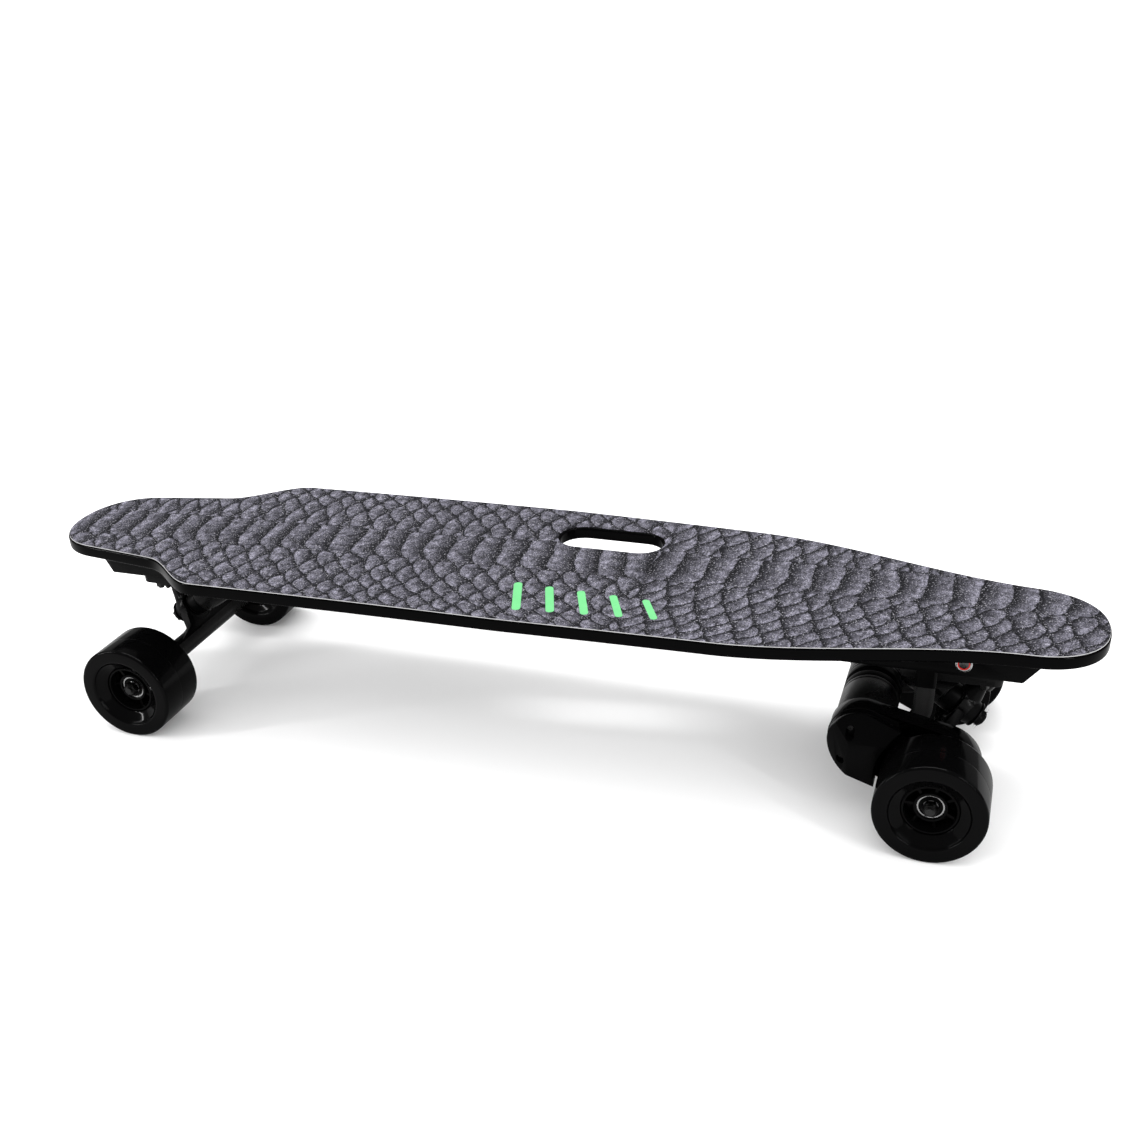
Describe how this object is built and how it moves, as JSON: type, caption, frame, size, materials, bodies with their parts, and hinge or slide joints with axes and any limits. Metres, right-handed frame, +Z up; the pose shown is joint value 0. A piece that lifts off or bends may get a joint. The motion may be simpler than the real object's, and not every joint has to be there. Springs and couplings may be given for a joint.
{
  "type": "electric skateboard",
  "caption": "Electric longboard: cambered deck with hand slot and grip, sprung steering trucks, soft wheels, belt-driven rear wheels and slim battery and controller cases underneath.",
  "frame": {"origin": "on the floor, midway between the axles and on the centre line", "axes": "+X toward the nose, +Y to the rider's left, +Z up; the driven trucks are at -X"},
  "size_m": [0.97, 0.282, 0.159],
  "materials": {
    "deck_lacquer": "gloss black lacquer over laminated maple",
    "grip": "gritty printed grip sheet with a scale pattern",
    "enclosure_plastic": "satin black moulded plastic",
    "black_steel": "black oxide",
    "cell_sleeve": "shrink sleeve",
    "circuit_board": "solder mask",
    "heat_sink": "bead blasted",
    "cable_jacket": "matt jacket",
    "bezel_chrome": "polished",
    "red_light": "lit ring",
    "button_steel": "brushed",
    "socket_plastic": "moulded",
    "riser_rubber": "moulded rubber",
    "truck_paint": "semi-gloss black powder coat on cast aluminium",
    "steel": "machined",
    "dark_steel": "blackened",
    "bushing_rubber": "cast urethane",
    "bearing_steel": "ground races with black shields",
    "wheel_tyre": "smooth cast urethane",
    "wheel_core": "moulded core",
    "pulley_plastic": "moulded",
    "motor_paint": "dark anodised can",
    "motor_cap": "moulded",
    "belt_rubber": "toothed belt",
    "cover_gloss": "gloss black moulding",
    "cover_satin": "satin black moulding",
    "cable_sleeve": "braided sleeve"
  },
  "bodies": {
    "board": {"deck": "deck_lacquer", "grip_tape": "grip", "front_enclosure": "enclosure_plastic", "rear_enclosure": "enclosure_plastic", "enclosure_screws": "black_steel", "battery_cells": "cell_sleeve", "battery_board": "circuit_board", "motor_controller": "heat_sink", "wire_conduit": "enclosure_plastic", "power_cable": "cable_jacket", "button_bezel": "bezel_chrome", "button_light_ring": "red_light", "charge_socket": "socket_plastic", "front_riser": "riser_rubber", "rear_riser": "riser_rubber", "front_baseplate": "truck_paint", "rear_baseplate": "truck_paint", "truck_bolts": "black_steel", "truck_nuts": "steel", "kingpins": "steel", "front_board_bushing": "bushing_rubber", "front_road_bushing": "bushing_rubber", "rear_board_bushing": "bushing_rubber", "rear_road_bushing": "bushing_rubber", "bushing_washers": "dark_steel", "kingpin_nuts": "dark_steel", "pivot_cups": "bushing_rubber", "motor_cables": "cable_sleeve"},
    "power_button": {"power_button": "button_steel"},
    "front_truck": {"front_hanger": "truck_paint", "front_axle": "steel", "front_axle_nuts": "dark_steel", "front_bearings": "bearing_steel"},
    "rear_truck": {"rear_hanger": "truck_paint", "rear_axle": "steel", "rear_axle_nuts": "dark_steel", "rear_bearings": "bearing_steel", "left_motor_housing": "motor_paint", "right_motor_housing": "motor_paint", "left_motor_end_cap": "motor_cap", "right_motor_end_cap": "motor_cap", "left_belt": "belt_rubber", "right_belt": "belt_rubber", "left_drive_shell": "cover_gloss", "right_drive_shell": "cover_gloss", "left_drive_cap": "cover_satin", "right_drive_cap": "cover_satin", "cover_screws": "black_steel"},
    "front_left_wheel": {"front_left_tyre": "wheel_tyre", "front_left_core": "wheel_core"},
    "front_right_wheel": {"front_right_tyre": "wheel_tyre", "front_right_core": "wheel_core"},
    "rear_left_wheel": {"rear_left_tyre": "wheel_tyre", "rear_left_core": "wheel_core", "left_wheel_pulley": "pulley_plastic"},
    "rear_right_wheel": {"rear_right_tyre": "wheel_tyre", "rear_right_core": "wheel_core", "right_wheel_pulley": "pulley_plastic"},
    "left_rotor": {"left_motor_rotor": "steel"},
    "right_rotor": {"right_motor_rotor": "steel"}
  },
  "joints": [
    {"name": "front_steering", "type": "hinge", "parent": "board", "child": "front_truck", "pos_m": [0.3763, 0, 0.0678], "axis": [0.5736, 0, 0.8192], "range_deg": [-12, 12], "stiffness_Nm_per_rad": 40, "deforming": ["front_board_bushing", "front_road_bushing"]},
    {"name": "rear_steering", "type": "hinge", "parent": "board", "child": "rear_truck", "pos_m": [-0.3763, 0, 0.0678], "axis": [-0.5736, 0, 0.8192], "range_deg": [-12, 12], "stiffness_Nm_per_rad": 40, "deforming": ["rear_board_bushing", "rear_road_bushing", "motor_cables"]},
    {"name": "front_left_spin", "type": "hinge", "parent": "front_truck", "child": "front_left_wheel", "pos_m": [0.3653, 0.115, 0.045], "axis": [0, 1, 0], "continuous": true},
    {"name": "front_right_spin", "type": "hinge", "parent": "front_truck", "child": "front_right_wheel", "pos_m": [0.3653, -0.115, 0.045], "axis": [0, 1, 0], "continuous": true},
    {"name": "rear_left_spin", "type": "hinge", "parent": "rear_truck", "child": "rear_left_wheel", "pos_m": [-0.3653, 0.115, 0.045], "axis": [0, 1, 0], "continuous": true},
    {"name": "rear_right_spin", "type": "hinge", "parent": "rear_truck", "child": "rear_right_wheel", "pos_m": [-0.3653, -0.115, 0.045], "axis": [0, 1, 0], "continuous": true},
    {"name": "left_rotor_spin", "type": "hinge", "parent": "rear_truck", "child": "left_rotor", "pos_m": [-0.3015, 0.04, 0.067], "axis": [0, 1, 0], "continuous": true},
    {"name": "right_rotor_spin", "type": "hinge", "parent": "rear_truck", "child": "right_rotor", "pos_m": [-0.3015, -0.04, 0.067], "axis": [0, 1, 0], "continuous": true},
    {"name": "button_press", "type": "slide", "parent": "board", "child": "power_button", "axis": [0, -1, 0], "range_m": [0, 0.0015], "stiffness_N_per_m": 600}
  ],
  "couplings": [
    {"joint": "left_rotor_spin", "follows": "rear_left_spin", "ratio": 2.2857},
    {"joint": "right_rotor_spin", "follows": "rear_right_spin", "ratio": 2.2857}
  ]
}
